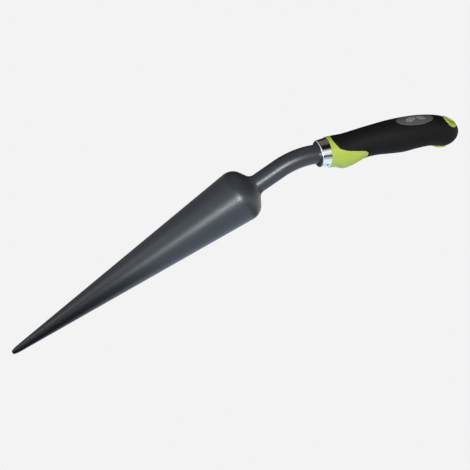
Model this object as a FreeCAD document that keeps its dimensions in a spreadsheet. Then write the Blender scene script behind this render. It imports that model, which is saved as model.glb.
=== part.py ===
import FreeCAD, Part
import math
import os
import Sketcher
from FreeCAD import Placement, Rotation, Vector

# Cranked garden dibber. Row frame: origin at the centre of the flat on the point, +Z up the cone's
# axis, and the crank lies in the XZ plane with the handle leaning towards +X. The handle's pieces are
# drawn in the handle's own frame: origin where the ferrule meets the grip, +Z towards the hang eye,
# +X towards the fingers (underside) and -X towards the palm. The crank angle turns that frame about Y.

DIMENSIONS = [
    # cone, point and shoulder
    ("tip_radius", 1.7, "flat on the point"),
    ("nose_length", 7.0, "rounded stretch behind the flat"),
    ("nose_radius", 26.0, "roundness of that stretch"),
    ("root_radius", 2.5, "radius where the cone's line meets the ground end"),
    ("shoulder_height", 233.0, "tip to the seam between cone and cap"),
    ("shoulder_radius", 22.2, "outer radius at that seam"),
    ("point_length", 45.0, "solid steel point"),
    ("spigot_length", 18.0, "point's spigot inside the cone"),
    ("spigot_gap", 0.1, "radial gap round the spigot"),
    ("sheet_wall", 2.0, "wall of cone and cap"),
    ("dome_radius", 13.0, "rounding from cone to dome"),
    ("dome_angle", 59.0, "turn of that rounding above the horizontal"),
    # neck tube
    ("neck_radius", 8.0, "tube outside"),
    ("neck_wall", 2.0, "tube wall"),
    ("neck_depth", 38.0, "tube inside the cone, below the collar"),
    ("neck_gap", 0.1, "radial gap between collar and tube"),
    ("neck_straight", 23.6, "collar to the start of the bend"),
    ("bend_radius", 54.0, "centreline radius of the crank"),
    ("crank_angle", 34.0, "turn of the crank"),
    ("lead_out", 2.7, "bend to the ferrule's front"),
    ("bead_hollow", 6.0, "hollow radius of the weld bead"),
    # tang
    ("swage_start", 1.0, "swage begins this far inside the ferrule"),
    ("swage_length", 9.0, "taper from tube to tang"),
    ("tang_radius", 5.5, "tang outside"),
    ("tang_half_thickness", 4.5, "across the two flats, half"),
    ("tang_wall", 2.0, "tang wall"),
    ("tang_length", 72.0, "tang behind the ferrule"),
    ("tang_gap", 0.05, "radial gap round tube and tang"),
    # ferrule
    ("ferrule_length", 8.6, "visible length"),
    ("ferrule_front_radius", 11.3, "outside at the front"),
    ("ferrule_rear_radius", 12.35, "outside at the rear"),
    ("ferrule_wall", 1.0, "drawn wall"),
    ("ferrule_rim", 1.6, "rounding of the front rim"),
    ("ferrule_gap", 0.1, "gap round tube and spigot"),
    ("stake_radius", 1.3, "punch mark"),
    ("stake_back", 3.6, "punch mark ahead of the ferrule's rear edge"),
    ("stake_turn", 20.0, "punch mark turned from the side towards the fingers"),
    # handle
    ("tail_length", 19.6, "rounded rear end"),
    ("tail_drop", 1.0, "rear end above the tang's axis"),
    # core, sleeve, badge and hang eye
    ("core_spigot_length", 6.8, "core inside the ferrule"),
    ("sleeve_thickness", 2.4, "soft over-moulding"),
    ("badge_at", 77.6, "badge centre"),
    ("badge_half_length", 17.2, "along the handle"),
    ("badge_half_width", 6.7, "across the handle"),
    ("badge_thickness", 1.2, "seated in the sleeve"),
    ("eye_at", 108.5, "hang eye on the tang's axis"),
    ("eye_tilt", 15.0, "lean of the hang hole"),
    ("eye_radius", 7.0, "lime boss"),
    ("eye_proud", 0.6, "boss stands out of the grip on the palm side"),
    ("eye_under", 1.5, "boss stands out of the grip on the finger side"),
    ("hang_radius", 3.5, "hang hole"),
    # side outline of the lime that shows: place along the handle, and height towards the palm
    ("lime_top_at", 0.2, "start on the palm side"),
    ("lime_top_up", 16.0, "height of that start"),
    ("lime_knee_at", 8.4, "turn from collar to tongue"),
    ("lime_knee_up", 8.3, "height of that turn"),
    ("tongue_top_at", 24.5, "start of the tongue's rounded end"),
    ("tongue_top_up", 5.6, "height of that start"),
    ("tongue_tip_at", 33.2, "tip of the tongue"),
    ("tongue_tip_up", 0.3, "height of the tip"),
    ("tongue_round", 8.1, "rounding above the tip"),
    ("tongue_back_at", 29.6, "end of the rounding below the tip"),
    ("tongue_back_down", 5.4, "that end, towards the fingers"),
    ("tongue_back_round", 5.0, "rounding below the tip"),
    ("lime_under_at", 29.0, "end of the lime on the finger side"),
]
# handle sections: name, place along the handle, palm side, finger side, half width
SECTIONS = [
    ("mouth", 0.0, 13.2, 12.8, 12.5),
    ("bell", 6.0, 13.5, 13.5, 12.9),
    ("stop", 14.2, 13.9, 16.4, 13.3),
    ("collar", 22.0, 15.2, 14.4, 12.9),
    ("waist", 32.0, 17.2, 9.5, 12.2),
    ("hollow", 42.0, 18.7, 8.2, 12.4),
    ("rise", 54.0, 20.2, 8.7, 13.3),
    ("swell", 68.0, 21.0, 9.3, 13.9),
    ("fall", 80.0, 21.0, 8.1, 13.3),
    ("heel", 93.0, 19.7, 7.8, 12.6),
    ("tail", 102.0, 17.6, 9.7, 12.7),
]
for name, at, palm, finger, half_width in SECTIONS:
    DIMENSIONS.append((name + "_at", at, "place along the handle"))
    DIMENSIONS.append((name + "_palm", palm, "palm side"))
    DIMENSIONS.append((name + "_finger", finger, "finger side"))
    DIMENSIONS.append((name + "_half_width", half_width, "half width"))
REACH = 40.0          # cutting tools and open sides reach this far past the work

doc = FreeCAD.newDocument("garden_dibber")
sheet = doc.addObject("Spreadsheet::Sheet", "Dims")
for row, (alias, number, note) in enumerate(DIMENSIONS, start=1):
    sheet.set("A%d" % row, alias)
    sheet.set("B%d" % row, str(number))
    sheet.set("C%d" % row, note)
    sheet.setAlias("B%d" % row, alias)
doc.recompute()


def dim(words):
    """Turn the sheet's names in a formula into references to the sheet."""
    for alias, _, _ in sorted(DIMENSIONS, key=lambda entry: -len(entry[0])):
        words = words.replace("{%s}" % alias, "Dims.%s" % alias)
    return words


def number(words):
    """The present value of a formula."""
    found = sheet.evalExpression(dim(words))
    return float(getattr(found, "Value", found))


def bind(thing, name, words):
    thing.setExpression(name, dim(words))


# ---- formulas that several pieces share
CONE_SLOPE = "(({shoulder_radius} - {root_radius}) / {shoulder_height})"
CONE_ANGLE = "atan(%s)" % CONE_SLOPE
DOME_X = "({shoulder_radius} - {dome_radius} * cos(%s))" % CONE_ANGLE
DOME_Z = "({shoulder_height} + {dome_radius} * sin(%s))" % CONE_ANGLE
DOME_END_X = "(%s + {dome_radius} * cos({dome_angle}))" % DOME_X
DOME_END_Z = "(%s + {dome_radius} * sin({dome_angle}))" % DOME_Z
FALL = "tan(90 - {dome_angle})"
COLLAR_RADIUS = "({neck_radius} + {neck_gap})"
COLLAR_Z = "(%s + (%s - %s) * %s)" % (DOME_END_Z, DOME_END_X, COLLAR_RADIUS, FALL)
BEND_Z = "(%s + {neck_straight})" % COLLAR_Z
AHEAD = "({lead_out} + {ferrule_length})"
HANDLE_X = "({bend_radius} * (1 - cos({crank_angle})) + %s * sin({crank_angle}))" % AHEAD
HANDLE_Z = "(%s + {bend_radius} * sin({crank_angle}) + %s * cos({crank_angle}))" % (BEND_Z, AHEAD)


def cone_radius(height):
    return "({root_radius} + (%s) * %s)" % (height, CONE_SLOPE)


def on_handle(thing):
    """Seat a piece that is drawn in the handle's frame."""
    thing.Placement = Placement(Vector(), Rotation(Vector(0, 1, 0), number("{crank_angle}")))
    bind(thing, "Placement.Base.x", HANDLE_X)
    bind(thing, "Placement.Base.z", HANDLE_Z)
    bind(thing, "Placement.Rotation.Angle", "{crank_angle}")
    return thing


# ---- sketches from formulas
def plane_of(body, role):
    return next(f for f in body.Origin.OriginFeatures if f.Role == role)


def draw(sketch, corners):
    """Close an outline. Each corner is (x, y) or (x, y, radius, side): with a radius, the edge to the
    next corner is an arc whose bulge is on that side, +1 left of the way along and -1 right of it."""
    spots = [Vector(number(c[0]), number(c[1]), 0) for c in corners]
    for index, corner in enumerate(corners):
        start = spots[index]
        end = spots[(index + 1) % len(spots)]
        if len(corner) == 2:
            sketch.addGeometry(Part.LineSegment(start, end), False)
            continue
        radius = number(corner[2])
        chord = end - start
        left = Vector(-chord.y, chord.x, 0).normalize() * corner[3]
        rise = radius - math.sqrt(radius ** 2 - (chord.Length / 2) ** 2)
        middle = (start + end) * 0.5 + left * rise
        first, last = (end, start) if corner[3] > 0 else (start, end)
        sketch.addGeometry(Part.Arc(first, middle, last), False)
    # an arc that bulges to the left runs from the next corner back to this one
    head = [2 if len(corner) > 2 and corner[3] > 0 else 1 for corner in corners]
    tail = [3 - end for end in head]
    for index, corner in enumerate(corners):
        last = index - 1 if index else len(corners) - 1
        sketch.addConstraint(Sketcher.Constraint("Coincident", last, tail[last], index, head[index]))
        for axis, kind, spot in ((-2, "DistanceX", spots[index].x), (-1, "DistanceY", spots[index].y)):
            if corner[0 if kind == "DistanceX" else 1] == "0":
                sketch.addConstraint(Sketcher.Constraint("PointOnObject", index, head[index], axis))
                continue
            made = sketch.addConstraint(Sketcher.Constraint(kind, -1, 1, index, head[index], spot))
            bind(sketch, "Constraints[%d]" % made, corner[0 if kind == "DistanceX" else 1])
        if len(corner) > 2:
            made = sketch.addConstraint(Sketcher.Constraint("Radius", index, number(corner[2])))
            bind(sketch, "Constraints[%d]" % made, corner[2])


def turned(name, corners):
    """A piece turned about its Z axis from an outline in its XZ plane."""
    body = doc.addObject("PartDesign::Body", name)
    body.Label = name
    sketch = body.newObject("Sketcher::SketchObject", name + "_outline")
    sketch.AttachmentSupport = (plane_of(body, "XZ_Plane"), [""])
    sketch.MapMode = "FlatFace"
    doc.recompute()
    draw(sketch, corners)
    doc.recompute()
    turn = body.newObject("PartDesign::Revolution", name + "_turn")
    turn.Profile = (sketch, [""])
    turn.ReferenceAxis = (sketch, ["V_Axis"])
    turn.Angle = 360.0
    body.Tip = turn
    doc.recompute()
    return body


# ---- Part primitives and booleans
def cylinder(name, radius, length, start):
    rod = doc.addObject("Part::Cylinder", name)
    bind(rod, "Radius", radius)
    bind(rod, "Height", length)
    bind(rod, "Placement.Base.z", start)
    return rod


def fuse(name, *pieces):
    joined = doc.addObject("Part::MultiFuse", name)
    joined.Shapes = list(pieces)
    return joined


def cut(name, base, tool):
    result = doc.addObject("Part::Cut", name)
    result.Base = base
    result.Tool = tool
    return result


def common(name, *pieces):
    result = doc.addObject("Part::MultiCommon", name)
    result.Shapes = list(pieces)
    return result


# ---- the pieces
def cone_point():
    step = "{point_length}"
    spigot = "(%s - {sheet_wall} - {spigot_gap})" % cone_radius(step)
    end = "({point_length} + {spigot_length})"
    return turned("cone_point", [
        ("0", "0"),
        ("{tip_radius}", "0", "{nose_radius}", -1),
        (cone_radius("{nose_length}"), "{nose_length}"),
        (cone_radius(step), step),
        (spigot, step),
        (spigot, end),
        ("0", end),
    ])


def cone_shell():
    step = "{point_length}"
    inset = "({sheet_wall} * cos(%s))" % CONE_ANGLE
    rise = "({sheet_wall} * sin(%s))" % CONE_ANGLE
    return turned("cone_shell", [
        (cone_radius(step), step),
        ("{shoulder_radius}", "{shoulder_height}"),
        ("({shoulder_radius} - %s)" % inset, "({shoulder_height} + %s)" % rise),
        ("(%s - {sheet_wall})" % cone_radius(step), step),
    ])


def shoulder_cap():
    inner = "({dome_radius} - {sheet_wall})"
    return turned("shoulder_cap", [
        ("{shoulder_radius}", "{shoulder_height}", "{dome_radius}", -1),
        (DOME_END_X, DOME_END_Z),
        (COLLAR_RADIUS, COLLAR_Z),
        (COLLAR_RADIUS, "(%s - {sheet_wall} / cos(90 - {dome_angle}))" % COLLAR_Z),
        ("(%s + %s * cos({dome_angle}))" % (DOME_X, inner), "(%s + %s * sin({dome_angle}))" % (DOME_Z, inner),
         inner, 1),
        ("({shoulder_radius} - {sheet_wall} * cos(%s))" % CONE_ANGLE,
         "({shoulder_height} + {sheet_wall} * sin(%s))" % CONE_ANGLE),
    ])


def neck_weld():
    """A bead with a hollow face, tangent to the tube and to the dome's slope."""
    fall = "(90 - {dome_angle})"
    leg = "({bead_hollow} * tan({dome_angle} / 2))"
    root = "(%s + {neck_gap} * %s)" % (COLLAR_Z, FALL)
    return turned("neck_weld", [
        ("{neck_radius}", COLLAR_Z),
        (COLLAR_RADIUS, COLLAR_Z),
        ("({neck_radius} + %s * cos(%s))" % (leg, fall), "(%s - %s * sin(%s))" % (root, leg, fall),
         "{bead_hollow}", 1),
        ("{neck_radius}", "(%s + %s)" % (root, leg)),
    ])


def neck_path():
    """Centreline of the tube: up the cone's axis, round the crank, and on to the swage."""
    path = doc.addObject("Sketcher::SketchObject", "neck_path")
    path.Placement = Placement(Vector(), Rotation(Vector(1, 0, 0), 90))
    below = "(%s - {neck_depth})" % COLLAR_Z
    bend_x = "({bend_radius} * (1 - cos({crank_angle})))"
    bend_z = "(%s + {bend_radius} * sin({crank_angle}))" % BEND_Z
    end_x = "(%s + (%s) * sin({crank_angle}))" % (bend_x, "{lead_out} + {swage_start}")
    end_z = "(%s + (%s) * cos({crank_angle}))" % (bend_z, "{lead_out} + {swage_start}")
    corners = [("0", below), ("0", BEND_Z), (bend_x, bend_z), (end_x, end_z)]
    spots = [Vector(number(x), number(z), 0) for x, z in corners]
    centre = Vector(number("{bend_radius}"), number(BEND_Z), 0)
    half = math.radians(number("{crank_angle}") / 2)
    middle = centre + Vector(-math.cos(half), math.sin(half), 0) * number("{bend_radius}")
    path.addGeometry(Part.LineSegment(spots[0], spots[1]), False)
    path.addGeometry(Part.Arc(spots[2], middle, spots[1]), False)
    path.addGeometry(Part.LineSegment(spots[2], spots[3]), False)
    ends = [(0, 1), (0, 2), (2, 1), (2, 2)]
    path.addConstraint(Sketcher.Constraint("Coincident", 0, 2, 1, 2))
    path.addConstraint(Sketcher.Constraint("Coincident", 1, 1, 2, 1))
    for (edge, end), (x, z), spot in zip(ends, corners, spots):
        if x == "0":
            path.addConstraint(Sketcher.Constraint("PointOnObject", edge, end, -2))
        else:
            made = path.addConstraint(Sketcher.Constraint("DistanceX", -1, 1, edge, end, spot.x))
            bind(path, "Constraints[%d]" % made, x)
        made = path.addConstraint(Sketcher.Constraint("DistanceY", -1, 1, edge, end, spot.y))
        bind(path, "Constraints[%d]" % made, z)
    made = path.addConstraint(Sketcher.Constraint("Radius", 1, number("{bend_radius}")))
    bind(path, "Constraints[%d]" % made, "{bend_radius}")
    return path


def swept(name, path, radius):
    ring = doc.addObject("Part::Circle", name + "_ring")
    bind(ring, "Radius", radius)
    bind(ring, "Placement.Base.z", "(%s - {neck_depth})" % COLLAR_Z)
    sweep = doc.addObject("Part::Sweep", name)
    sweep.Sections = [ring]
    sweep.Spine = (path, ["Edge1", "Edge2", "Edge3"])
    sweep.Solid = True
    sweep.Frenet = False
    return sweep


SWAGE_AT = "({swage_start} - {ferrule_length})"
TANG_AT = "(%s + {swage_length})" % SWAGE_AT


def tang_solid(name, gap):
    """Swage and tang in the handle's frame, grown all round by a gap."""
    swage = doc.addObject("Part::Cone", name + "_swage")
    bind(swage, "Radius1", "({neck_radius} + %s)" % gap)
    bind(swage, "Radius2", "({tang_radius} + %s)" % gap)
    bind(swage, "Height", "{swage_length}")
    bind(swage, "Placement.Base.z", SWAGE_AT)
    length = "({tang_length} - %s + %s)" % (TANG_AT, gap)
    rod = cylinder(name + "_rod", "({tang_radius} + %s)" % gap, length, TANG_AT)
    slab = doc.addObject("Part::Box", name + "_slab")
    bind(slab, "Length", "(2 * ({tang_half_thickness} + %s))" % gap)
    bind(slab, "Width", "(4 * {tang_radius})")
    bind(slab, "Height", length)
    bind(slab, "Placement.Base.x", "(-{tang_half_thickness} - %s)" % gap)
    bind(slab, "Placement.Base.y", "(-2 * {tang_radius})")
    bind(slab, "Placement.Base.z", TANG_AT)
    return fuse(name, swage, common(name + "_flats", rod, slab))


def neck_tube():
    path = neck_path()
    outside = swept("neck_outside", path, "{neck_radius}")
    inside = swept("neck_inside", path, "({neck_radius} - {neck_wall})")
    tang = on_handle(tang_solid("tang", "0"))
    hole = cylinder("tang_hole", "({tang_radius} - {tang_wall})",
                    "({tang_length} - %s + 2)" % SWAGE_AT, "(%s - 1)" % SWAGE_AT)
    tube = fuse("neck_solid", outside, tang)
    return cut("neck_tube", tube, fuse("neck_bores", inside, on_handle(hole)))


def ferrule():
    hole = "({neck_radius} + {ferrule_gap})"
    front = "(-{ferrule_length})"
    inner = "({ferrule_front_radius} - {ferrule_wall})"
    blank = turned("ferrule_cup", [
        (hole, front),
        ("({ferrule_front_radius} - {ferrule_rim})", front, "{ferrule_rim}", -1),
        ("{ferrule_front_radius}", "({ferrule_rim} - {ferrule_length})"),
        ("{ferrule_rear_radius}", "0"),
        ("({ferrule_rear_radius} - {ferrule_wall})", "0"),
        (inner, "({ferrule_rim} - {ferrule_length})"),
        (inner, "({ferrule_wall} - {ferrule_length})"),
        (hole, "({ferrule_wall} - {ferrule_length})"),
    ])
    punch = doc.addObject("Part::Sphere", "stake_punch")
    bind(punch, "Radius", "{stake_radius}")
    slope = "(({ferrule_rear_radius} - {ferrule_front_radius}) / ({ferrule_length} - {ferrule_rim}))"
    skin = "({ferrule_rear_radius} - {stake_back} * %s + {stake_radius} / 2)" % slope
    bind(punch, "Placement.Base.x", "(%s * sin({stake_turn}))" % skin)
    bind(punch, "Placement.Base.y", "(-%s * cos({stake_turn}))" % skin)
    bind(punch, "Placement.Base.z", "(-{stake_back})")
    return on_handle(cut("ferrule", blank, punch))


TAIL_TURNS = (35, 60, 78)         # sections of the rounded tail, by their turn towards its end


def handle_form(name, inset, under="0"):
    """The handle's outer shape, drawn in all round by an inset: a loft through oval sections that
    closes in a rounded tail. Under adds to the finger side alone."""
    sections = []

    def section(at, palm, finger, half_width):
        oval = doc.addObject("Part::Ellipse", "%s_oval_%d" % (name, len(sections)))
        bind(oval, "MajorRadius", "((%s + %s + %s) / 2)" % (palm, finger, under))
        bind(oval, "MinorRadius", half_width)
        bind(oval, "Placement.Base.x", "((%s + %s - %s) / 2)" % (finger, under, palm))
        bind(oval, "Placement.Base.z", at)
        sections.append(oval)

    for station, *_ in SECTIONS:
        palm = "({%s_palm} - %s)" % (station, inset)
        finger = "({%s_finger} - %s)" % (station, inset)
        width = "({%s_half_width} - %s)" % (station, inset)
        section("{%s_at}" % station, palm, finger, width)
    middle = "(({tail_palm} - {tail_finger}) / 2)"
    half_height = "(({tail_palm} + {tail_finger}) / 2 - %s)" % inset
    for turn in TAIL_TURNS:
        rise = "({tail_drop} + (%s - {tail_drop}) * (1 - sin(%d)) ^ 2)" % (middle, turn)
        palm = "(%s * cos(%d) + %s)" % (half_height, turn, rise)
        finger = "(%s * cos(%d) - %s)" % (half_height, turn, rise)
        at = "({tail_at} + ({tail_length} - %s) * sin(%d))" % (inset, turn)
        section(at, palm, finger, "(({tail_half_width} - %s) * cos(%d))" % (inset, turn))
    end = doc.addObject("Part::Vertex", name + "_end")
    bind(end, "X", "(-{tail_drop})")
    bind(end, "Z", "({tail_at} + {tail_length} - %s)" % inset)
    sections.append(end)
    form = doc.addObject("Part::Loft", name)
    form.Sections = sections
    form.Solid = True
    form.Ruled = False
    doc.recompute()
    return form


def lime_window():
    """Side outline of the lime that shows ahead of the sleeve, reaching through the handle."""
    body = doc.addObject("PartDesign::Body", "lime_window")
    sketch = body.newObject("Sketcher::SketchObject", "lime_outline")
    sketch.AttachmentSupport = (plane_of(body, "XZ_Plane"), [""])
    sketch.MapMode = "FlatFace"
    doc.recompute()
    far = str(REACH)
    draw(sketch, [
        ("(-%s)" % far, "(-1)"),
        ("(-%s)" % far, "{lime_top_at}"),
        ("(-{lime_top_up})", "{lime_top_at}"),
        ("(-{lime_knee_up})", "{lime_knee_at}"),
        ("(-{tongue_top_up})", "{tongue_top_at}", "{tongue_round}", 1),
        ("(-{tongue_tip_up})", "{tongue_tip_at}", "{tongue_back_round}", 1),
        ("{tongue_back_down}", "{tongue_back_at}"),
        (far, "{lime_under_at}"),
        (far, "(-1)"),
    ])
    doc.recompute()
    pad = body.newObject("PartDesign::Pad", "lime_pad")
    pad.Profile = (sketch, [""])
    pad.Midplane = True
    pad.Length = 2 * REACH
    body.Tip = pad
    doc.recompute()
    return body


def eye_rod(name, radius):
    """A rod along the hang hole."""
    rod = doc.addObject("Part::Cylinder", name)
    bind(rod, "Radius", radius)
    rod.Height = 2 * REACH
    rod.Placement = Placement(Vector(), Rotation(Vector(0, 1, 0), 90))
    bind(rod, "Placement.Rotation.Angle", "(90 + {eye_tilt})")
    bind(rod, "Placement.Base.x", "(-%s * cos({eye_tilt}))" % REACH)
    bind(rod, "Placement.Base.z", "({eye_at} + %s * sin({eye_tilt}))" % REACH)
    return rod


def handle():
    form = handle_form("handle_form", "0")
    inner = handle_form("core_form", "{sleeve_thickness}")
    floor = handle_form("badge_floor", "{badge_thickness}")
    limit = handle_form("eye_limit", "(-{eye_proud})", "({eye_under} - {eye_proud})")
    window = lime_window()
    eye = eye_rod("eye_boss", "{eye_radius}")
    hang = eye_rod("hang_rod", "{hang_radius}")
    # badge: an oval of the outer skin on the palm side, and its seat in the sleeve
    oval = doc.addObject("Part::Ellipse", "badge_oval")
    bind(oval, "MajorRadius", "{badge_half_length}")
    bind(oval, "MinorRadius", "{badge_half_width}")
    oval.Placement = Placement(Vector(), Rotation(Vector(0, 1, 0), 90))
    bind(oval, "Placement.Base.z", "{badge_at}")
    prism = doc.addObject("Part::Extrusion", "badge_prism")
    prism.Base = oval
    prism.DirMode = "Custom"
    prism.Dir = Vector(-1, 0, 0)
    prism.LengthFwd = REACH
    prism.Solid = True
    badge = cut("badge", common("badge_skin", form, prism), floor)
    seat = cut("badge_seat", prism, floor)
    # sleeve: the outer form without the core, the lime windows and the badge's seat
    shell = cut("sleeve_shell", form, window)
    shell = cut("sleeve_hollow", shell, inner)
    shell = cut("sleeve_eye", shell, eye)
    sleeve = cut("grip_sleeve", shell, seat)
    # core: front bell, inner form, eye boss and spigot, drilled for hanging, bored for tube and tang
    spigot = cylinder("core_spigot",
                      "({ferrule_front_radius} - {ferrule_wall} - {ferrule_gap})",
                      "({core_spigot_length} + 1)", "(-{core_spigot_length})")
    boss = common("eye_wall", cut("limit_drilled", limit, hang), eye)
    solid = fuse("core_solid", common("lime_front", form, window), cut("inner_drilled", inner, hang),
                 boss, spigot)
    tang_room = tang_solid("tang_room", "{tang_gap}")
    tube_room = cylinder("tube_room", "({neck_radius} + {tang_gap})", "{ferrule_length}",
                         "(-2 * {ferrule_length} + {swage_start})")
    core = cut("handle_core", solid, fuse("core_bores", tang_room, tube_room))
    return [on_handle(core), on_handle(sleeve), on_handle(badge)]


pieces = [cone_point(), cone_shell(), shoulder_cap(), neck_weld(), neck_tube(), ferrule()]
pieces.extend(handle())
for piece in pieces:
    piece.Label = piece.Name
doc.recompute()

for thing in doc.Objects:
    if "Invalid" in thing.State or "Error" in thing.State:
        raise SystemExit("%s is not built: %s" % (thing.Name, thing.State))
for piece in pieces:
    shape = piece.Shape
    if shape.isNull() or not shape.isValid():
        raise SystemExit("%s has no valid shape" % piece.Label)
    if len(shape.Solids) != 1:
        raise SystemExit("%s has %d solids" % (piece.Label, len(shape.Solids)))

os.makedirs("parts", exist_ok=True)
for piece in pieces:
    piece.Shape.exportStep("parts/%s.step" % piece.Label)
    box = piece.Shape.BoundBox
    print("%-14s %9.1f mm3  x %7.2f %7.2f  y %7.2f %7.2f  z %7.2f %7.2f" % (
        piece.Label, piece.Shape.Volume, box.XMin, box.XMax, box.YMin, box.YMax, box.ZMin, box.ZMax))
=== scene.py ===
"""Cranked garden dibber: powder-coated steel cone and neck, chrome ferrule, lime core and black soft grip."""

import math

import bmesh
import bpy
from mathutils import Matrix, Vector


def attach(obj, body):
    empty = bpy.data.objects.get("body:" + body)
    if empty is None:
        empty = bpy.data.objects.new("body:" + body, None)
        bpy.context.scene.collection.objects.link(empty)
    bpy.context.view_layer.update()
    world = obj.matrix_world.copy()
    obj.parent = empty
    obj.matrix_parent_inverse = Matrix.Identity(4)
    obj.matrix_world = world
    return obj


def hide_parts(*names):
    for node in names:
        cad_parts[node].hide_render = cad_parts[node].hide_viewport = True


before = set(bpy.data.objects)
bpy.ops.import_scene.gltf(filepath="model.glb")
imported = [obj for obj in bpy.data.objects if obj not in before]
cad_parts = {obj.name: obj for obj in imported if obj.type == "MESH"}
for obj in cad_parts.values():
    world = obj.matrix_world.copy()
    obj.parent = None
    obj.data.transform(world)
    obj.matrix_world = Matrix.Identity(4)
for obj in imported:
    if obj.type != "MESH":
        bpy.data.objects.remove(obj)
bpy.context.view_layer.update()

MM = 0.001
SKIN = 0.05           # the handle's visible skins lie this far inside their drawn size
HAIR = 0.01           # the cone and its cap are this much smaller than their drawn size
SLIP = 0.1            # clearance round the spigot, the neck and the tang

# ---- sizes, in millimetres and degrees
TIP_RADIUS = 1.7
NOSE_LENGTH = 7.0
NOSE_RADIUS = 26.0
ROOT_RADIUS = 2.5
POINT_LENGTH = 45.0
SPIGOT_LENGTH = 18.0
SHEET_WALL = 2.0
SHOULDER_HEIGHT = 233.0
SHOULDER_RADIUS = 22.2
DOME_RADIUS = 13.0
DOME_ANGLE = math.radians(59.0)
NECK_RADIUS = 8.0
NECK_WALL = 2.0
NECK_DEPTH = 38.0
NECK_STRAIGHT = 23.6
BEND_RADIUS = 54.0
CRANK = math.radians(34.0)
LEAD_OUT = 2.7
BEAD_HOLLOW = 6.0
TANG_RADIUS = 5.5
TANG_HALF = 4.5
TANG_LENGTH = 72.0
SWAGE_FROM = -7.6
SWAGE_TO = 1.4
FERRULE_LENGTH = 8.6
FERRULE_FRONT = 11.3
FERRULE_REAR = 12.35
FERRULE_WALL = 1.0
FERRULE_RIM = 1.6
STAKE_RADIUS = 1.3
STAKE_BACK = 3.6
STAKE_TURN = math.radians(20.0)
SPIGOT_RADIUS = 10.2
CORE_SPIGOT = 6.8
SLEEVE = 2.4
TAIL_AT = 102.0
TAIL_LENGTH = 19.6
TAIL_DROP = 1.0
EYE_AT = 108.5
EYE_TILT = math.radians(15.0)
EYE_RADIUS = 7.0
EYE_PROUD = 0.6
EYE_UNDER = 1.5
HANG_RADIUS = 3.5
BADGE_AT = 77.6
BADGE_HALF_LENGTH = 17.2
BADGE_HALF_WIDTH = 6.7
BADGE_DEPTH = 1.2
BADGE_PROUD = 0.12
LEAF_INK = 0.14               # a leaf is printed pale where it rises more than this
# handle: place along it, palm side, finger side, half width
STATIONS = (
    (0.0, 13.2, 12.8, 12.5),
    (6.0, 13.5, 13.5, 12.9),
    (14.2, 13.9, 16.4, 13.3),
    (22.0, 15.2, 14.4, 12.9),
    (32.0, 17.2, 9.5, 12.2),
    (42.0, 18.7, 8.2, 12.4),
    (54.0, 20.2, 8.7, 13.3),
    (68.0, 21.0, 9.3, 13.9),
    (80.0, 21.0, 8.1, 13.3),
    (93.0, 19.7, 7.8, 12.6),
    (102.0, 17.6, 9.7, 12.7),
)
START_SLOPE = (0.03, 0.10, 0.06)
TAIL_SLOPE = (-0.30, 0.30, 0.0)
# side outline of the lime that shows: height towards the palm, place along the handle
LIME_TOP = (16.0, 0.2)
LIME_KNEE = (8.3, 8.4)
TONGUE_TOP = (5.6, 24.5)
TONGUE_TIP = (0.3, 33.2)
TONGUE_BACK = (-5.4, 29.6)
LIME_UNDER = 29.0

CONE_SLOPE = (SHOULDER_RADIUS - ROOT_RADIUS) / SHOULDER_HEIGHT
CONE_ANGLE = math.atan(CONE_SLOPE)
DOME_X = SHOULDER_RADIUS - DOME_RADIUS * math.cos(CONE_ANGLE)
DOME_Z = SHOULDER_HEIGHT + DOME_RADIUS * math.sin(CONE_ANGLE)
DOME_END = (DOME_X + DOME_RADIUS * math.cos(DOME_ANGLE), DOME_Z + DOME_RADIUS * math.sin(DOME_ANGLE))
FALL = math.tan(math.pi / 2 - DOME_ANGLE)
COLLAR_Z = DOME_END[1] + (DOME_END[0] - NECK_RADIUS - SLIP) * FALL
BEND_Z = COLLAR_Z + NECK_STRAIGHT
BEND_LENGTH = BEND_RADIUS * CRANK
AHEAD = LEAD_OUT + FERRULE_LENGTH
HANDLE_X = BEND_RADIUS * (1 - math.cos(CRANK)) + AHEAD * math.sin(CRANK)
HANDLE_Z = BEND_Z + BEND_RADIUS * math.sin(CRANK) + AHEAD * math.cos(CRANK)
ON_HANDLE = Matrix.Translation((HANDLE_X * MM, 0, HANDLE_Z * MM)) @ Matrix.Rotation(CRANK, 4, "Y")


# ---- outlines
def cone_radius(height):
    return ROOT_RADIUS + height * CONE_SLOPE - HAIR


def steps(start, end, count):
    """Evenly spaced values from start to end, both included."""
    return [start + (end - start) * step / count for step in range(count + 1)]


def arc(centre, radius, start, end, count):
    """Points of an arc in an outline, by its angles from the outward direction."""
    return [(centre[0] + radius * math.cos(a), centre[1] + radius * math.sin(a))
            for a in steps(start, end, count)]


def bowed(start, end, radius, count):
    """Points of a shallow arc between two points, bulging to the right of the way along."""
    start, end = Vector(start), Vector(end)
    chord = end - start
    side = Vector((chord.y, -chord.x)).normalized()
    sink = math.sqrt(radius ** 2 - (chord.length / 2) ** 2)
    centre = (start + end) / 2 - side * sink
    half = math.asin(chord.length / 2 / radius)
    along = chord.normalized()
    return [tuple(centre + side * radius * math.cos(a) + along * radius * math.sin(a))
            for a in steps(-half, half, count)]


# ---- shaping
def spun(outline, sides, closed=True):
    """Spin an outline of (radius, height) about the upright axis."""
    bm = bmesh.new()
    verts = [bm.verts.new((r * MM, 0, z * MM)) for r, z in outline]
    pairs = list(zip(verts, verts[1:]))
    if closed:
        pairs.append((verts[-1], verts[0]))
    edges = [bm.edges.new(pair) for pair in pairs]
    bmesh.ops.spin(bm, geom=verts + edges, cent=(0, 0, 0), axis=(0, 0, 1), angle=math.tau,
                   steps=sides, use_merge=True, use_duplicate=False)
    return bm


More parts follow.
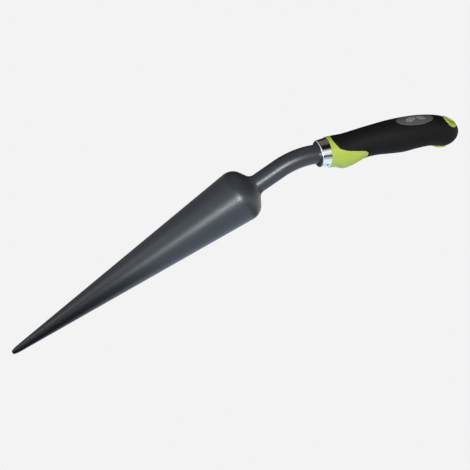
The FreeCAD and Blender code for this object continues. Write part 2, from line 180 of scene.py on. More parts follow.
def ringed(places, sides):
    """Spin a stick into a plain tube and move each of its rings to its place. A place gives the point
    in millimetres for an angle round the ring; a ring that shrinks to a point closes the end."""
    bm = spun([(1000.0, 1000.0 * level) for level in range(len(places))], sides, closed=False)
    for vert in bm.verts:
        turn = math.atan2(vert.co.y, vert.co.x)
        vert.co = Vector(places[round(vert.co.z)](turn)) * MM
    return bm


def settle(bm):
    """Close seams and poles, and turn the normals outwards."""
    bmesh.ops.remove_doubles(bm, verts=bm.verts, dist=2e-7)
    bmesh.ops.dissolve_degenerate(bm, edges=bm.edges, dist=1e-8)
    bmesh.ops.recalc_face_normals(bm, faces=bm.faces)


def as_object(name, bm):
    mesh = bpy.data.meshes.new(name)
    bm.to_mesh(mesh)
    bm.free()
    made = bpy.data.objects.new(name, mesh)
    bpy.context.scene.collection.objects.link(made)
    return made


def carved(piece, tools):
    """Cut solid tools out of a piece and keep the result as its mesh."""
    for tool in tools:
        cut = piece.modifiers.new("cut", "BOOLEAN")
        cut.operation = "DIFFERENCE"
        cut.solver = "EXACT"
        cut.object = tool
    bpy.context.view_layer.update()
    shaped = bpy.data.meshes.new_from_object(piece.evaluated_get(bpy.context.evaluated_depsgraph_get()))
    piece.modifiers.clear()
    piece.data = shaped
    for tool in tools:
        bpy.data.objects.remove(tool)


def finished(piece, finish, nodes, crease=32.0):
    """Smooth shading with crisp edges, a finish, and the piece's place in the frame."""
    piece.data.shade_smooth()
    piece.data.set_sharp_from_angle(angle=math.radians(crease))
    piece.data.materials.clear()
    piece.data.materials.append(finish)
    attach(piece, "root")
    if nodes:
        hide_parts(*nodes)
    return piece


def seated(name, bm, finish, nodes, crease=32.0):
    """A finished piece straight from its shape."""
    settle(bm)
    return finished(as_object(name, bm), finish, nodes, crease)


# ---- handle form
def hermite(first, last, slope_first, slope_last, share, span):
    a = share * share
    b = a * share
    return (first * (2 * b - 3 * a + 1) + last * (3 * a - 2 * b)
            + span * (slope_first * (b - 2 * a + share) + slope_last * (b - a)))


def station_slopes():
    slopes = [START_SLOPE]
    for before, here, after in zip(STATIONS, STATIONS[1:], STATIONS[2:]):
        near, far = here[0] - before[0], after[0] - here[0]
        slopes.append(tuple(
            ((here[k] - before[k]) / near * far + (after[k] - here[k]) / far * near) / (near + far)
            for k in (1, 2, 3)))
    slopes.append(TAIL_SLOPE)
    return slopes


SLOPES = station_slopes()


def oval_at(along, inset=0.0):
    """(place, palm, finger, half width) of the handle's section. Up to the tail, along is the place in
    millimetres; past it, each unit is a degree of the tail's turn."""
    if along <= TAIL_AT:
        index = 0
        while index < len(STATIONS) - 2 and along > STATIONS[index + 1][0]:
            index += 1
        first, last = STATIONS[index], STATIONS[index + 1]
        span = last[0] - first[0]
        share = (along - first[0]) / span
        palm, finger, width = (
            hermite(first[k], last[k], SLOPES[index][k - 1], SLOPES[index + 1][k - 1], share, span)
            for k in (1, 2, 3))
        return along, palm - inset, finger - inset, width - inset
    turn = math.radians(along - TAIL_AT)
    _, tail_palm, tail_finger, tail_width = STATIONS[-1]
    middle = (tail_palm - tail_finger) / 2
    half = (tail_palm + tail_finger) / 2 - inset
    rise = TAIL_DROP + (middle - TAIL_DROP) * (1 - math.sin(turn)) ** 2
    place = TAIL_AT + (TAIL_LENGTH - inset) * math.sin(turn)
    return (place, half * math.cos(turn) + rise, half * math.cos(turn) - rise,
            (tail_width - inset) * math.cos(turn))


def on_form(along, angle, inset=0.0):
    """Point of the handle's skin. The angle runs from the palm side."""
    place, palm, finger, width = oval_at(along, inset)
    return Vector(((finger - palm) / 2 - (palm + finger) / 2 * math.cos(angle),
                   width * math.sin(angle), place))


def inside_form(point, inset):
    """Whether a point lies inside the handle's skin."""
    place = point.z
    along = place
    if place > TAIL_AT:
        share = (place - TAIL_AT) / (TAIL_LENGTH - inset)
        if share >= 1:
            return False
        along = TAIL_AT + math.degrees(math.asin(share))
    _, palm, finger, width = oval_at(along, inset)
    offset = (point.x - (finger - palm) / 2) / ((palm + finger) / 2)
    return offset ** 2 + (point.y / width) ** 2 < 1


def skin_from(start, direction, inset):
    """How far it is from a point inside the handle to its skin."""
    near, far = 0.0, 40.0
    for _ in range(26):
        middle = (near + far) / 2
        if inside_form(start + direction * middle, inset):
            near = middle
        else:
            far = middle
    return near


def lime_edge_at(up):
    """Where the lime ends along the handle, by the height towards the palm."""
    if up >= LIME_TOP[0]:
        return LIME_TOP[1]
    if up >= LIME_KNEE[0]:
        share = (LIME_TOP[0] - up) / (LIME_TOP[0] - LIME_KNEE[0])
        return LIME_TOP[1] + (LIME_KNEE[1] - LIME_TOP[1]) * share
    if up >= TONGUE_TOP[0]:
        share = (LIME_KNEE[0] - up) / (LIME_KNEE[0] - TONGUE_TOP[0])
        return LIME_KNEE[1] + (TONGUE_TOP[1] - LIME_KNEE[1]) * share
    if up >= TONGUE_TIP[0]:
        share = (up - TONGUE_TIP[0]) / (TONGUE_TOP[0] - TONGUE_TIP[0])
        return TONGUE_TIP[1] - (TONGUE_TIP[1] - TONGUE_TOP[1]) * (1 - math.sqrt(max(0.0, 1 - share ** 2)))
    if up >= TONGUE_BACK[0]:
        share = (up - TONGUE_TIP[0]) / (TONGUE_BACK[0] - TONGUE_TIP[0])
        return TONGUE_TIP[1] - (TONGUE_TIP[1] - TONGUE_BACK[1]) * (1 - math.sqrt(1 - 0.96 * share ** 2)) / 0.8
    share = (TONGUE_BACK[0] - up) / 12.0
    return TONGUE_BACK[1] + (LIME_UNDER - TONGUE_BACK[1]) * min(share, 1.0)


def lime_ends(angle):
    """Where the lime ends along the handle at an angle round it."""
    near, far = 0.0, 60.0
    for _ in range(24):
        middle = (near + far) / 2
        if middle < lime_edge_at(-on_form(middle, angle).x):
            near = middle
        else:
            far = middle
    return near


GRIP_SIDES = 288


def smoothed_edge():
    """The lime's edge round the whole handle, with its corners eased."""
    spread = 3
    raw = [lime_ends(math.tau * k / GRIP_SIDES) for k in range(GRIP_SIDES)]
    for _ in range(2):
        raw = [sum(raw[(k + near) % GRIP_SIDES] for near in range(-spread, spread + 1)) / (2 * spread + 1)
               for k in range(GRIP_SIDES)]
    return raw


LIME_EDGE = smoothed_edge()


def lime_edge(angle):
    """The eased edge at an angle round the handle."""
    return LIME_EDGE[round(angle % math.tau / math.tau * GRIP_SIDES) % GRIP_SIDES]


# ---- finishes
def new_finish(name):
    finish = bpy.data.materials.new(name)
    finish.use_nodes = True
    nodes = finish.node_tree.nodes
    return finish, nodes, finish.node_tree.links, nodes["Principled BSDF"]


def grain(nodes, links, scale, detail=2.0, roughness=0.5):
    """Fine noise on the piece's own coordinates."""
    where = nodes.new("ShaderNodeTexCoord")
    noise = nodes.new("ShaderNodeTexNoise")
    noise.inputs["Scale"].default_value = scale
    noise.inputs["Detail"].default_value = detail
    noise.inputs["Roughness"].default_value = roughness
    links.new(where.outputs["Object"], noise.inputs["Vector"])
    return noise.outputs["Fac"]


def dented(nodes, links, shader, height, strength, depth):
    bump = nodes.new("ShaderNodeBump")
    bump.inputs["Strength"].default_value = strength
    bump.inputs["Distance"].default_value = depth
    links.new(height, bump.inputs["Height"])
    links.new(bump.outputs["Normal"], shader.inputs["Normal"])


def graded(nodes, links, value, low, high, target):
    """Spread a value between two tones or two numbers into a socket."""
    if isinstance(low, tuple):
        mix = nodes.new("ShaderNodeValToRGB")
        mix.color_ramp.elements[0].position = 0.3
        mix.color_ramp.elements[1].position = 0.7
        mix.color_ramp.elements[0].color = (*low, 1)
        mix.color_ramp.elements[1].color = (*high, 1)
        links.new(value, mix.inputs["Fac"])
        links.new(mix.outputs["Color"], target)
        return
    spread = nodes.new("ShaderNodeMapRange")
    spread.inputs["From Min"].default_value = 0.3
    spread.inputs["From Max"].default_value = 0.7
    spread.inputs["To Min"].default_value = low
    spread.inputs["To Max"].default_value = high
    links.new(value, spread.inputs["Value"])
    links.new(spread.outputs["Result"], target)


def powder_coat():
    """Slate-grey powder coat with a fine orange peel; its colour is darkened towards the point as painted
    shade.
    """
    finish, nodes, links, shader = new_finish("slate powder coat")
    shader.inputs["IOR"].default_value = 1.5
    where = nodes.new("ShaderNodeTexCoord")
    height = nodes.new("ShaderNodeSeparateXYZ")
    links.new(where.outputs["Object"], height.inputs["Vector"])
    # painted shade: the base colour is scaled down to 0.45 at the point and rises to full over the lowest
    # 0.15 m, standing in for the dim light near the tip
    painted_shade_fade = nodes.new("ShaderNodeMapRange")
    painted_shade_fade.inputs["From Min"].default_value = 0.0
    painted_shade_fade.inputs["From Max"].default_value = 0.15
    painted_shade_fade.inputs["To Min"].default_value = 0.45
    painted_shade_fade.inputs["To Max"].default_value = 1.0
    links.new(height.outputs["Z"], painted_shade_fade.inputs["Value"])
    shade = nodes.new("ShaderNodeVectorMath")
    shade.operation = "SCALE"
    graded(nodes, links, grain(nodes, links, 2600.0, 2.0), (0.0192, 0.0230, 0.0266),
           (0.0246, 0.0293, 0.0338), shade.inputs[0])
    links.new(painted_shade_fade.outputs["Result"], shade.inputs["Scale"])
    links.new(shade.outputs["Vector"], shader.inputs["Base Color"])
    graded(nodes, links, grain(nodes, links, 420.0, 3.0), 0.32, 0.39, shader.inputs["Roughness"])
    dented(nodes, links, shader, grain(nodes, links, 700.0, 2.0), 0.02, 0.00003)
    return finish


def chrome_plate():
    """Bright plating with the faint drag of polishing."""
    finish, nodes, links, shader = new_finish("chrome plate")
    shader.inputs["Metallic"].default_value = 1.0
    shader.inputs["Base Color"].default_value = (0.78, 0.78, 0.80, 1)
    graded(nodes, links, grain(nodes, links, 300.0, 4.0), 0.06, 0.12, shader.inputs["Roughness"])
    dented(nodes, links, shader, grain(nodes, links, 160.0, 3.0), 0.08, 0.00003)
    return finish


def lime_plastic():
    """Moulded polypropylene, satin, with a very fine spark texture."""
    finish, nodes, links, shader = new_finish("lime polypropylene")
    graded(nodes, links, grain(nodes, links, 60.0, 2.0), (0.285, 0.375, 0.042), (0.315, 0.410, 0.052),
           shader.inputs["Base Color"])
    shader.inputs["IOR"].default_value = 1.49
    graded(nodes, links, grain(nodes, links, 500.0, 2.0), 0.30, 0.38, shader.inputs["Roughness"])
    dented(nodes, links, shader, grain(nodes, links, 900.0, 1.0), 0.02, 0.00002)
    return finish


def soft_grip():
    """Black soft-touch elastomer with a matt, finely pebbled skin."""
    finish, nodes, links, shader = new_finish("black soft grip")
    graded(nodes, links, grain(nodes, links, 240.0, 3.0), (0.0038, 0.0038, 0.0038), (0.0055, 0.0055, 0.0055),
           shader.inputs["Base Color"])
    shader.inputs["IOR"].default_value = 1.45
    shader.inputs["Specular IOR Level"].default_value = 0.17
    graded(nodes, links, grain(nodes, links, 700.0, 2.0), 0.56, 0.68, shader.inputs["Roughness"])
    dented(nodes, links, shader, grain(nodes, links, 1200.0, 2.0), 0.18, 0.00004)
    return finish


def satin_grey(name, low, high):
    """Satin lacquer of the plaque."""
    finish, nodes, links, shader = new_finish(name)
    graded(nodes, links, grain(nodes, links, 900.0, 2.0), low, high, shader.inputs["Base Color"])
    shader.inputs["IOR"].default_value = 1.5
    graded(nodes, links, grain(nodes, links, 400.0, 2.0), 0.36, 0.46, shader.inputs["Roughness"])
    dented(nodes, links, shader, grain(nodes, links, 1200.0, 1.0), 0.05, 0.00002)
    return finish


POWDER = powder_coat()
CHROME = chrome_plate()
LIME = lime_plastic()
RUBBER = soft_grip()
BADGE_GREY = satin_grey("satin grey badge", (0.056, 0.056, 0.056), (0.074, 0.074, 0.074))
LEAF_PRINT = satin_grey("pale leaf print", (0.15, 0.15, 0.15), (0.19, 0.19, 0.19))


# ---- cone
def steel_point():
    """Solid point with a small flat, a rounded nose and a spigot for the sheet cone."""
    step = cone_radius(POINT_LENGTH)
    spigot = step - SHEET_WALL - SLIP
    nose = bowed((TIP_RADIUS, 0.0), (cone_radius(NOSE_LENGTH), NOSE_LENGTH), NOSE_RADIUS, 14)
    flank = [(cone_radius(z), z) for z in steps(NOSE_LENGTH, POINT_LENGTH, 24)[1:]]
    outline = [(0.0, 0.0), (TIP_RADIUS * 0.6, 0.0), (TIP_RADIUS - 0.18, 0.0), (TIP_RADIUS - 0.05, 0.05)]
    outline += [(r - 0.02, z) for r, z in nose[1:]] + flank
    outline += [(spigot, POINT_LENGTH), (spigot, POINT_LENGTH + SPIGOT_LENGTH - 1),
                (spigot - 1, POINT_LENGTH + SPIGOT_LENGTH), (0.0, POINT_LENGTH + SPIGOT_LENGTH)]
    seated("steel_point", spun(outline, 160, closed=False), POWDER, ["cone_point"])


def sheet_cone():
    """Rolled cone, open at both ends."""
    inset = SHEET_WALL * math.cos(CONE_ANGLE)
    rise = SHEET_WALL * math.sin(CONE_ANGLE)
    outside = [(cone_radius(z), z) for z in steps(POINT_LENGTH, SHOULDER_HEIGHT, 64)]
    inside = [(cone_radius(z) - SHEET_WALL, z) for z in steps(SHOULDER_HEIGHT - 4, POINT_LENGTH, 24)]
    outline = outside + [(SHOULDER_RADIUS - inset, SHOULDER_HEIGHT + rise)] + inside
    seated("sheet_cone", spun(outline, 192), POWDER, ["cone_shell"])


def shoulder_cap():
    """Domed cap, flush with the cone, falling to a collar for the neck."""
    centre = (DOME_X, DOME_Z)
    dome = arc(centre, DOME_RADIUS - HAIR, -CONE_ANGLE, DOME_ANGLE, 40)
    collar = NECK_RADIUS + SLIP
    slope = [(DOME_END[0] + (collar - DOME_END[0]) * s, DOME_END[1] + (COLLAR_Z - DOME_END[1]) * s)
             for s in steps(0, 1, 8)[1:]]
    under = arc(centre, DOME_RADIUS - SHEET_WALL, DOME_ANGLE, -CONE_ANGLE, 16)
    outline = dome + slope + [(collar, COLLAR_Z - SHEET_WALL / math.sin(DOME_ANGLE))] + under
    seated("shoulder_cap_skin", spun(outline, 192), POWDER, ["shoulder_cap"])


def weld_bead():
    """Smooth hollow bead between the cap and the neck."""
    fall = math.pi / 2 - DOME_ANGLE
    leg = BEAD_HOLLOW * math.tan(DOME_ANGLE / 2)
    root = COLLAR_Z + SLIP * FALL
    top = (NECK_RADIUS, root + leg)
    foot = (NECK_RADIUS + leg * math.cos(fall), root - leg * math.sin(fall))
    centre = (NECK_RADIUS + BEAD_HOLLOW, root + leg)
    start = math.pi
    end = math.atan2(foot[1] - centre[1], foot[0] - centre[0]) % math.tau
    hollow = arc(centre, BEAD_HOLLOW, start, end, 24)
    outline = hollow + [(foot[0] - 0.6, foot[1] - 0.3), (NECK_RADIUS - 0.15, COLLAR_Z - 0.3),
                        (NECK_RADIUS - 0.15, top[1] - 0.3)]
    seated("weld_bead", spun(outline, 160), POWDER, ["neck_weld"])


# ---- neck
def on_neck(way, angle, across, deep):
    """Point on a ring round the neck's centreline. Way 0 is the start of the bend."""
    turn = min(max(way, 0.0), BEND_LENGTH) / BEND_RADIUS
    spot = Vector((BEND_RADIUS * (1 - math.cos(turn)), 0, BEND_Z + BEND_RADIUS * math.sin(turn)))
    along = Vector((math.sin(turn), 0, math.cos(turn)))
    side = Vector((math.cos(turn), 0, -math.sin(turn)))
    spot += along * (min(way, 0.0) + max(way - BEND_LENGTH, 0.0))
    return spot + side * across * math.cos(angle) + Vector((0, 1, 0)) * deep * math.sin(angle)


def neck_tube():
    """Bent tube, swaged down to a flatted tang inside the grip."""
    handle = BEND_LENGTH + AHEAD
    bottom = -NECK_STRAIGHT - NECK_DEPTH
    outside = [(way, NECK_RADIUS, NECK_RADIUS) for way in
               steps(bottom, -NECK_STRAIGHT, 6) + steps(-NECK_STRAIGHT, 0, 16)[1:]
               + steps(0, BEND_LENGTH, 36)[1:] + steps(BEND_LENGTH, handle + SWAGE_FROM, 6)[1:]]
    tang = [(handle + SWAGE_TO, TANG_HALF, TANG_RADIUS)]
    tang += [(way, TANG_HALF, TANG_RADIUS) for way in steps(handle + SWAGE_TO, handle + TANG_LENGTH, 8)[1:]]
    bore = [(handle + TANG_LENGTH, TANG_RADIUS - 2, TANG_RADIUS - 2),
            (handle + SWAGE_TO, TANG_RADIUS - 2, TANG_RADIUS - 2)]
    inner = NECK_RADIUS - NECK_WALL
    bore += [(way, inner, inner) for way in steps(handle + SWAGE_FROM, BEND_LENGTH, 2)
             + steps(BEND_LENGTH, 0, 12)[1:] + [bottom]]
    rings = outside + tang + bore + outside[:1]
    places = [lambda angle, ring=ring: on_neck(ring[0], angle, ring[1], ring[2]) for ring in rings]
    seated("bent_neck", ringed(places, 112), POWDER, ["neck_tube"])


# ---- ferrule
def ferrule():
    """Chrome cup with a rolled front rim and one punched dimple."""
    hole = NECK_RADIUS + SLIP
    front = -FERRULE_LENGTH
    inner = FERRULE_FRONT - FERRULE_WALL
    rim = (FERRULE_FRONT - FERRULE_RIM, front + FERRULE_RIM)
    outline = [(hole, front + FERRULE_WALL), (hole, front + 0.25), (hole + 0.25, front)]
    outline += [(r, front) for r in steps(hole + 0.25, rim[0], 3)[1:]]
    outline += arc(rim, FERRULE_RIM, -math.pi / 2, 0, 14)[1:]
    outline += [(FERRULE_FRONT + (FERRULE_REAR - FERRULE_FRONT) * s, rim[1] + (-0.2 - rim[1]) * s)
                for s in steps(0, 1, 30)[1:]]
    outline += [(FERRULE_REAR - 0.15, -0.02), (FERRULE_REAR - FERRULE_WALL, -0.02), (inner, rim[1]),
                (inner, front + FERRULE_WALL)]
    bm = spun(outline, 288)
    dent_at = Vector((math.sin(STAKE_TURN), -math.cos(STAKE_TURN), 0))
    for vert in bm.verts:
        out = Vector((vert.co.x, vert.co.y, 0))
        if out.length < (inner + 0.5) * MM or vert.co.z > -0.1 * MM:
            continue
        across = out.length * out.angle(dent_at, math.pi)
        away = math.hypot(across, vert.co.z + STAKE_BACK * MM) / (STAKE_RADIUS * MM)
        if away < 1:
            vert.co -= out.normalized() * 0.55 * MM * (1 - away * away) ** 1.5
    bm.transform(ON_HANDLE)
    seated("chrome_ferrule", bm, CHROME, ["ferrule"], crease=40.0)


# ---- handle
def at_form(along, inset):
    return lambda angle: on_form(along, angle, inset)


def round_bore(radius, place):
    return lambda angle: Vector((-radius * math.cos(angle), radius * math.sin(angle), place))


def from_edge(share, join, inset, back=0.0):
    """Ring part of the way from the lime's edge to a level place."""
    def place(angle):
        edge = lime_edge(angle) + back
        return on_form(edge + (join - edge) * share, angle, inset)
    return place


def to_edge(share, inset, back=0.0):
    """Ring part of the way from the front of the handle to the lime's edge."""
    def place(angle):
        edge = max(lime_edge(angle) - back, 0.25)
        return on_form(0.25 + (edge - 0.25) * share, angle, inset)
    return place


TAIL_TURNS = [*range(4, 77, 4), 79, 82, 84, 86, 88, 90]
JOIN = 46.0                   # past the lime's edge, rings are level from here on
CORE_INSET = SLEEVE + 0.05


def hang_rod(radius):
    """Solid rod along the hang hole, for cutting."""
    bm = bmesh.new()
    bmesh.ops.create_cone(bm, cap_ends=True, segments=96, radius1=radius * MM, radius2=radius * MM,
                          depth=80 * MM)
    bm.transform(Matrix.Rotation(math.pi / 2 + EYE_TILT, 4, "Y"))
    bm.transform(Matrix.Translation((0, 0, EYE_AT * MM)))
    bm.transform(ON_HANDLE)
    settle(bm)
    return as_object("hang rod", bm)


def handle_core():
    """Lime core: bell that shows in front, stepped down under the sleeve, bored for the tang."""
    bore, end = TANG_RADIUS + SLIP, TANG_LENGTH + SLIP
    rings = [round_bore(0.0, end), round_bore(bore, end), round_bore(bore, SWAGE_TO),
             round_bore(NECK_RADIUS, -CORE_SPIGOT),
             round_bore(SPIGOT_RADIUS, -CORE_SPIGOT), round_bore(SPIGOT_RADIUS, 0.02)]
    rings += [at_form(0.02, 1.5), at_form(0.02, 0.62), at_form(0.04, 0.42), at_form(0.12, 0.2)]
    rings += [to_edge(share, SKIN) for share in steps(0, 1, 40)[:-1]]
    rings += [to_edge(1, SKIN, 0.30), to_edge(1, SKIN + 0.06, 0.18), to_edge(1, SKIN + 0.18, 0.08),
              to_edge(1, SKIN + 0.35, 0.04), to_edge(1, CORE_INSET, 0.04)]
    rings += [from_edge(share, JOIN, CORE_INSET) for share in steps(0, 1, 8)[1:]]
    rings += [at_form(along, CORE_INSET) for along in steps(JOIN, TAIL_AT, 24)[1:]]
    rings += [at_form(TAIL_AT + turn, CORE_INSET) for turn in TAIL_TURNS[1::2]]
    rings += [at_form(TAIL_AT + 90, CORE_INSET)]
    bm = ringed(rings, GRIP_SIDES)
    bm.transform(ON_HANDLE)
    settle(bm)
    core = as_object("lime_bell", bm)
    carved(core, [hang_rod(EYE_RADIUS - 1.4)])
    finished(core, LIME, ["handle_core"], crease=38.0)


def badge_place(reach, angle, rise, grow=0.0):
    """Point of the badge's plan: a share of the way out to its oval rim, raised off the grip's skin."""
    along = BADGE_AT + (BADGE_HALF_LENGTH + grow) * reach * math.cos(angle)
    across = (BADGE_HALF_WIDTH + grow) * reach * math.sin(angle)
    _, palm, finger, width = oval_at(along, 0.0)
    level = (palm + finger) / 2 * math.sqrt(1 - (across / width) ** 2)
    return Vector(((finger - palm) / 2 - level - rise, across, along))


def badge_block():
    """Solid that cuts the badge's seat."""
    rings = [lambda a: badge_place(0, a, -BADGE_DEPTH)]
    rings += [lambda a, s=s: badge_place(s, a, -BADGE_DEPTH, 0.12) for s in steps(0, 1, 5)[1:]]
    rings += [lambda a: badge_place(1, a, 3.0, 0.12), lambda a: badge_place(0, a, 3.0)]
    bm = ringed(rings, 128)
    bm.transform(ON_HANDLE)
    settle(bm)
    return as_object("badge block", bm)


def grip_sleeve():
    """Soft over-moulding: one closed skin with a rounded front lip."""
    under = SLEEVE - 0.02
    rings = [at_form(TAIL_AT + 90, under)]
    rings += [at_form(TAIL_AT + turn, under) for turn in reversed(TAIL_TURNS[1:-1:3])]
    rings += [at_form(along, under) for along in steps(TAIL_AT, JOIN, 12)]
    rings += [from_edge(share, JOIN, under, 0.04) for share in steps(1, 0, 6)[1:]]
    lip = ((0.04, 1.0), (0.04, 0.62), (0.07, 0.38), (0.14, 0.20), (0.26, 0.09), (0.42, 0.05))
    rings += [from_edge(0, JOIN, inset, back) for back, inset in lip]
    rings += [from_edge(share, JOIN, SKIN, 0.42) for share in steps(0, 1, 40)[1:]]
    rings += [at_form(along, SKIN) for along in steps(JOIN, TAIL_AT, 48)[1:]]
    rings += [at_form(TAIL_AT + turn, SKIN) for turn in TAIL_TURNS]
    bm = ringed(rings, GRIP_SIDES)
    bm.transform(ON_HANDLE)
    settle(bm)
    sleeve = as_object("soft_sleeve", bm)
    carved(sleeve, [hang_rod(EYE_RADIUS + 0.05), badge_block()])
    finished(sleeve, RUBBER, ["grip_sleeve"], crease=38.0)


def hang_eyelet():
    """Lime eye round the hang hole: a tube whose two ends follow the grip's skin, standing a little proud."""
    middle = Vector((0, 0, EYE_AT))
    palm_way = Vector((-math.cos(EYE_TILT), 0, math.sin(EYE_TILT)))
    rear_way = Vector((math.sin(EYE_TILT), 0, math.cos(EYE_TILT)))
    found = {}

    def spot(radius, angle, drop, way):
        proud = EYE_PROUD if way > 0 else EYE_UNDER
        key = (radius, round(angle, 6), way)
        out = middle + Vector((0, 1, 0)) * radius * math.sin(angle) + rear_way * radius * math.cos(angle)
        if key not in found:
            found[key] = skin_from(out, palm_way * way, 0.0) + proud - SKIN
        return out + palm_way * way * (found[key] - drop)

    rounding = [(math.cos(a), math.sin(a)) for a in steps(0, math.pi / 2, 6)]
    mouth = [(HANG_RADIUS + 1.1 * (1 - s), 1.1 * (1 - c)) for c, s in rounding]
    brim = [(EYE_RADIUS - 0.05 - 0.5 * (1 - c), 0.5 * (1 - s)) for c, s in rounding]
    crown = sorted({(round(r, 4), round(d, 4)) for r, d in mouth}, key=lambda p: p[0])
    face = [(r, 0.0) for r in steps(HANG_RADIUS + 1.1, EYE_RADIUS - 0.55, 5)[1:-1]]
    profile = [(HANG_RADIUS, 3.0)] + crown + face + brim[::-1] + [(EYE_RADIUS - 0.05, 2.2)]
    rings = [lambda a, p=p: spot(p[0], a, p[1], 1) for p in profile]
    rings += [lambda a, p=p: spot(p[0], a, p[1], -1) for p in reversed(profile)]
    rings.append(rings[0])
    bm = ringed(rings, 128)
    bm.transform(ON_HANDLE)
    seated("hang_eyelet", bm, LIME, [], crease=38.0)


def ease(value, low, high):
    """Smooth step from 0 at low to 1 at high."""
    share = min(max((value - low) / (high - low), 0.0), 1.0)
    return share * share * (3 - 2 * share)


def leaf_rise(along, across, centre, lean, length, width):
    """Raised leaf with a sunk midrib and side veins."""
    u = (along - centre) * math.cos(lean) + across * math.sin(lean)
    v = -(along - centre) * math.sin(lean) + across * math.cos(lean)
    if abs(u) >= length:
        return 0.0
    half = width * (1 - (u / length) ** 2) * (1 - 0.25 * u / length)
    body = ease(half - abs(v), 0.0, 0.35)
    rib = 1 - ease(abs(v), 0.12, 0.42)
    vein = 1 - ease(abs(((u - abs(v)) / 1.7) % 1.0 - 0.5), 0.06, 0.24)
    return body * (0.26 - 0.16 * rib - 0.10 * vein * (1 - rib))


def two_leaves(along, across):
    front = leaf_rise(along, across, -3.6, 0.35, 6.2, 2.9)
    rear = leaf_rise(along, across, 5.6, -0.4, 5.2, 2.5)
    return max(front, rear)


def badge():
    """Oval plaque with a raised rim and a pair of leaves."""
    def face(reach):
        def place(angle):
            along = BADGE_HALF_LENGTH * reach * math.cos(angle)
            across = BADGE_HALF_WIDTH * reach * math.sin(angle)
            field = -0.16 * (1 - ease(reach, 0.86, 0.91))
            leaves = two_leaves(along, across) * (reach < 0.86)
            return badge_place(reach, angle, BADGE_PROUD + field + leaves)
        return place

    rim = ((0, -BADGE_DEPTH + 0.05), (1, -BADGE_DEPTH + 0.05), (1, BADGE_PROUD - 0.30),
           (0.998, BADGE_PROUD - 0.12), (0.990, BADGE_PROUD - 0.04))
    rings = [lambda a, reach=reach, rise=rise: badge_place(reach, a, rise) for reach, rise in rim]
    rings += [face(reach) for reach in steps(0.975, 0.0, 64)]
    bm = ringed(rings, 256)
    bm.transform(ON_HANDLE)
    settle(bm)
    plaque = as_object("oval_badge", bm)
    finished(plaque, BADGE_GREY, ["badge"], crease=45.0)
    plaque.data.materials.append(LEAF_PRINT)
    back = ON_HANDLE.inverted()
    for patch in plaque.data.polygons:
        spot = back @ patch.center / MM
        if two_leaves(spot.z - BADGE_AT, spot.y) > LEAF_INK:
            patch.material_index = 1


steel_point()
sheet_cone()
shoulder_cap()
weld_bead()
neck_tube()
ferrule()
handle_core()
grip_sleeve()
hang_eyelet()
badge()

# ---- camera
RIGHT = Vector((0.46515, -0.33703, 0.81856))
UP = Vector((-0.52705, 0.63749, 0.56198))
BACK = Vector((-0.71124, -0.69283, 0.11890))
CAMERA_AT = (-0.70660, -0.72236, 0.33387)
LENS = 94.31
camera_data = bpy.data.cameras.new("camera")
camera_data.sensor_width = 36.0
camera_data.lens = LENS
camera = bpy.data.objects.new("camera", camera_data)
bpy.context.scene.collection.objects.link(camera)
turn = Matrix((RIGHT, UP, BACK)).transposed().to_4x4()
camera.matrix_world = Matrix.Translation(CAMERA_AT) @ turn
bpy.context.scene.camera = camera

# ---- floor and light
PALE = 0.896
CARD_SIZE = (0.22, 0.21, 1)
CARD_AT = (0.014, -0.12, 0.0)


def pale_floor():
    """Plain pale floor, evenly lit."""
    bm = bmesh.new()
    bmesh.ops.create_circle(bm, cap_ends=True, segments=64, radius=6.0)
    bmesh.ops.translate(bm, verts=bm.verts, vec=(0, 0, -0.0015))
    floor = as_object("floor", bm)
    paint = bpy.data.materials.new("pale floor")
    paint.use_nodes = True
    nodes = paint.node_tree.nodes
    nodes.clear()
    out = nodes.new("ShaderNodeOutputMaterial")
    glow = nodes.new("ShaderNodeEmission")
    glow.inputs["Color"].default_value = (PALE, PALE, PALE, 1)
    paint.node_tree.links.new(glow.outputs["Emission"], out.inputs["Surface"])
    floor.data.materials.append(paint)
    floor.visible_diffuse = False
    floor.visible_glossy = False
    floor.visible_shadow = False


def dark_card():
    """Black card beside the point, out of sight, that keeps the point's near side deep."""
    bm = bmesh.new()
    bmesh.ops.create_grid(bm, x_segments=1, y_segments=1, size=0.5)
    bmesh.ops.scale(bm, verts=bm.verts, vec=CARD_SIZE)
    bmesh.ops.rotate(bm, verts=bm.verts, matrix=Matrix.Rotation(math.pi / 2, 3, "X"))
    bmesh.ops.translate(bm, verts=bm.verts, vec=CARD_AT)
    card = as_object("dark_card", bm)
    paint = bpy.data.materials.new("black card")
    paint.use_nodes = True
    shader = paint.node_tree.nodes["Principled BSDF"]
    shader.inputs["Base Color"].default_value = (0.01, 0.01, 0.01, 1)
    shader.inputs["Roughness"].default_value = 0.9
    shader.inputs["Specular IOR Level"].default_value = 0.1
    card.data.materials.append(paint)
    card.visible_camera = False


def tone_ramp(nodes, links, value, tones):
    """Blend of tones, each placed from -1 to 1 along a value."""
    ramp = nodes.new("ShaderNodeValToRGB")
    while len(ramp.color_ramp.elements) < len(tones):
        ramp.color_ramp.elements.new(0.5)
    for element, (place, tone) in zip(ramp.color_ramp.elements, tones):
        element.position = (place + 1) / 2
        element.color = (*tone, 1)
    links.new(value, ramp.inputs["Fac"])
    return ramp.outputs["Color"]


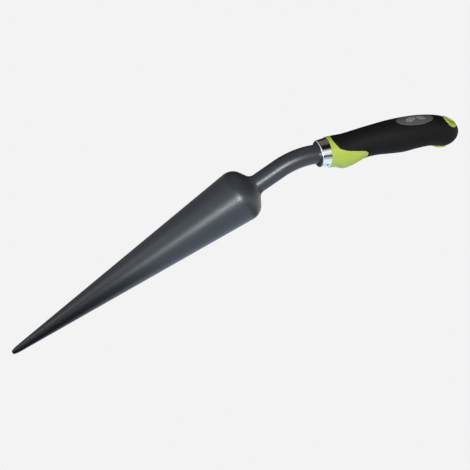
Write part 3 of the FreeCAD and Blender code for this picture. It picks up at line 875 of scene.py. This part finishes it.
def studio():
    """Pale surround for the eye. For the light, a soft room in three heights, each shaded from side
    to side, with a dark flag where the strip light stands."""
    world = bpy.data.worlds.new("studio")
    bpy.context.scene.world = world
    world.use_nodes = True
    nodes, links = world.node_tree.nodes, world.node_tree.links
    nodes.clear()
    out = nodes.new("ShaderNodeOutputWorld")
    seen = nodes.new("ShaderNodeBackground")
    seen.inputs["Color"].default_value = (PALE, PALE, PALE, 1)
    room = nodes.new("ShaderNodeBackground")
    where = nodes.new("ShaderNodeTexCoord")

    def towards(way, low, high):
        lean = nodes.new("ShaderNodeVectorMath")
        lean.operation = "DOT_PRODUCT"
        lean.inputs[1].default_value = way
        links.new(where.outputs["Generated"], lean.inputs[0])
        share = nodes.new("ShaderNodeMapRange")
        share.interpolation_type = "SMOOTHSTEP" if low > -1 else "LINEAR"
        share.inputs["From Min"].default_value = low
        share.inputs["From Max"].default_value = high
        links.new(lean.outputs["Value"], share.inputs["Value"])
        return share.outputs["Result"]

    def blend(share, first, second):
        mix = nodes.new("ShaderNodeMix")
        mix.data_type = "RGBA"
        links.new(share, mix.inputs["Factor"])
        links.new(first, mix.inputs[6])
        links.new(second, mix.inputs[7])
        return mix.outputs[2]

    side = towards(UP, -1.0, 1.0)
    high = tone_ramp(nodes, links, side, (
        (-1.0, (0.62, 0.64, 0.68)), (-0.86, (0.74, 0.77, 0.83)), (-0.66, (0.48, 0.50, 0.54)),
        (-0.49, (0.02, 0.02, 0.02)), (-0.44, (0.02, 0.02, 0.02)), (-0.26, (0.85, 0.85, 0.84)),
        (0.08, (1.15, 1.15, 1.15)), (0.30, (0.50, 0.50, 0.50)), (0.47, (0.012, 0.010, 0.009)),
        (0.84, (0.012, 0.010, 0.009)),
        (0.92, (0.14, 0.11, 0.10)), (1.0, (0.16, 0.12, 0.11))))
    middle = tone_ramp(nodes, links, side, (
        (-1.0, (0.95, 1.10, 1.30)), (-0.4, (0.90, 1.08, 1.38)), (0.0, (0.80, 0.90, 1.0)),
        (0.3, (0.60, 0.64, 0.68)), (0.6, (0.20, 0.21, 0.22)), (1.0, (0.12, 0.13, 0.13))))
    low = tone_ramp(nodes, links, side, (
        (-1.0, (0.14, 0.17, 0.20)), (-0.3, (0.04, 0.05, 0.06)), (0.05, (0.35, 0.38, 0.42)),
        (0.3, (0.8, 0.86, 0.94)), (1.0, (0.3, 0.33, 0.36))))
    rest = blend(towards(Vector((0, 0, -1)), -0.02, 0.16), high, middle)
    rest = blend(towards(Vector((0, 0, -1)), 0.26, 0.50), rest, low)
    flag = tone_ramp(nodes, links, side, ((-1.0, (0.03, 0.03, 0.032)), (1.0, (0.05, 0.045, 0.045))))
    rest = blend(towards((RIGHT * -0.56 + BACK * -0.82 + UP * -0.1).normalized(), 0.80, 0.93), rest, flag)
    links.new(rest, room.inputs["Color"])
    path = nodes.new("ShaderNodeLightPath")
    pick = nodes.new("ShaderNodeMixShader")
    links.new(path.outputs["Is Camera Ray"], pick.inputs["Fac"])
    links.new(room.outputs["Background"], pick.inputs[1])
    links.new(seen.outputs["Background"], pick.inputs[2])
    links.new(pick.outputs["Shader"], out.inputs["Surface"])


def softbox(name, aim, towards, distance, width, height, power):
    """Rectangular light, unseen by the camera, that faces a point from a direction."""
    light = bpy.data.lights.new(name, "AREA")
    light.shape = "RECTANGLE"
    light.size = width
    light.size_y = height
    light.energy = power
    lamp = bpy.data.objects.new(name, light)
    lamp.location = aim + towards.normalized() * distance
    lamp.rotation_mode = "QUATERNION"
    lamp.rotation_quaternion = towards.to_track_quat("Z", "Y")
    bpy.context.scene.collection.objects.link(lamp)
    lamp.visible_camera = False
    return lamp


pale_floor()
dark_card()
studio()
softbox("strip", Vector((0, 0, 0.26)), Vector((-0.600, -0.80, 0)), 1.2, 0.24, 0.72, 17.2)
softbox("panel", Vector((0, 0, 0.05)), Vector((-0.852, 0.079, -0.449)), 1.0, 0.5, 0.5, 1.1)
overhead = softbox("overhead", Vector((0.03, 0, 0.27)), UP * 0.9 + BACK * 0.35, 1.1, 0.7, 0.7, 3.2)
overhead.visible_glossy = False
fill = softbox("fill", Vector((0.03, 0, 0.22)), BACK * -1.0 + UP * 0.3, 1.2, 0.9, 0.9, 9.0)
fill.visible_glossy = False

bpy.context.scene.view_settings.view_transform = "Standard"
